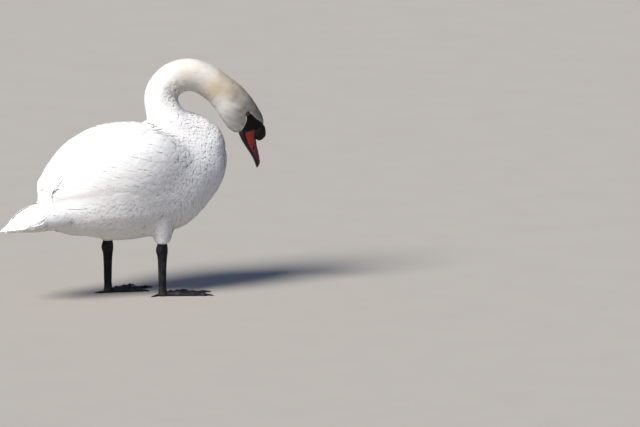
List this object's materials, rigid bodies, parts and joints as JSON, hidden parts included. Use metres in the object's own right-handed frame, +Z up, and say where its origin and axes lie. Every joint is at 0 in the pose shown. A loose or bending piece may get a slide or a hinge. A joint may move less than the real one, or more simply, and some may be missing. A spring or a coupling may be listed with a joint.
{
  "type": "mute swan, adult male, standing still model",
  "caption": "Life-size still mute swan standing on webbed feet, neck folded back in a loop and bill lowered, wings closed over the back.",
  "frame": {"origin": "on the floor under the middle of the bird's bounding box, soles of both feet at z = 0", "axes": "+X towards the bird's breast and head, +Y to its left, +Z up"},
  "size_m": [0.726, 0.2674, 0.6008],
  "materials": {
    "white_plumage": "soft matte feathers",
    "cream_plumage": "short soft matte feathers, stained cream",
    "orange_bill": "satin horn",
    "black_skin": "matte leathery skin",
    "eye": "wet gloss"
  },
  "bodies": {
    "root": {"trunk": "white_plumage", "wing_right": "white_plumage", "wing_left": "white_plumage", "primaries_right": "white_plumage", "primaries_left": "white_plumage", "tail": "white_plumage", "neck_base": "white_plumage", "neck_lower": "white_plumage", "neck_arch": "cream_plumage", "neck_upper": "cream_plumage", "head": "cream_plumage", "bill_upper": "orange_bill", "bill_lower": "black_skin", "bill_knob": "black_skin", "eye_right": "eye", "eye_left": "eye", "thigh_right": "white_plumage", "thigh_left": "white_plumage", "shank_right": "black_skin", "shank_left": "black_skin", "foot_right": "black_skin", "foot_left": "black_skin"}
  },
  "joints": []
}
